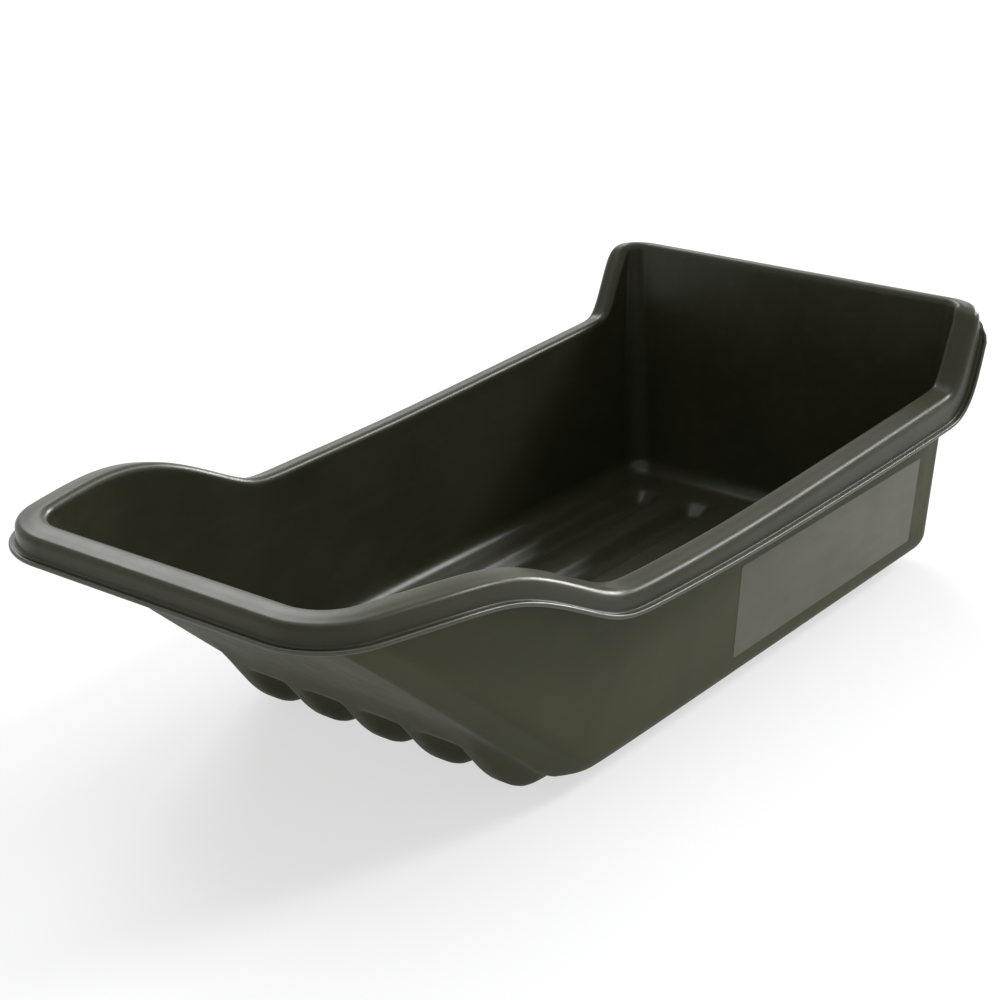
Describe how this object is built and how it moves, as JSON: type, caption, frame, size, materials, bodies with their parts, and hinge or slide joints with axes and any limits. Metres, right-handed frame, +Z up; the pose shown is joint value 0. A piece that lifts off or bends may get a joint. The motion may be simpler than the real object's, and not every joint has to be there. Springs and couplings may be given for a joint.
{
  "type": "ice fishing sled",
  "caption": "Open moulded cargo sled with a ramped raised bow, rolled rim, moulded runners underneath and hinged tow rings under the bow.",
  "frame": {"origin": "on the ground that the runners rest on, under the middle of the sled's overall length and width", "axes": "+X towards the bow, +Y to port, +Z up"},
  "size_m": [1.506, 0.7054, 0.4353],
  "materials": {
    "hull_plastic": "satin moulded polyethylene, near black with an olive cast",
    "film": "smooth blank film",
    "zinc_steel": "zinc plated"
  },
  "bodies": {
    "sled": {"hull": "hull_plastic", "side_film_port": "film", "side_film_starboard": "film", "tow_plate_port": "zinc_steel", "backing_plate_port": "zinc_steel", "tow_bolt_port_inboard": "zinc_steel", "tow_nut_port_inboard": "zinc_steel", "tow_bolt_port_outboard": "zinc_steel", "tow_nut_port_outboard": "zinc_steel", "tow_plate_starboard": "zinc_steel", "backing_plate_starboard": "zinc_steel", "tow_bolt_starboard_inboard": "zinc_steel", "tow_nut_starboard_inboard": "zinc_steel", "tow_bolt_starboard_outboard": "zinc_steel", "tow_nut_starboard_outboard": "zinc_steel"},
    "tow_ring_port": {"tow_ring_port": "zinc_steel"},
    "tow_ring_starboard": {"tow_ring_starboard": "zinc_steel"}
  },
  "joints": [
    {"name": "tow_ring_port_swing", "type": "hinge", "parent": "sled", "child": "tow_ring_port", "pos_m": [0.6822, 0.112, 0.34257], "axis": [0, 1, 0], "range_deg": [-115, 45]},
    {"name": "tow_ring_starboard_swing", "type": "hinge", "parent": "sled", "child": "tow_ring_starboard", "pos_m": [0.6822, -0.112, 0.34257], "axis": [0, 1, 0], "range_deg": [-115, 45]}
  ]
}
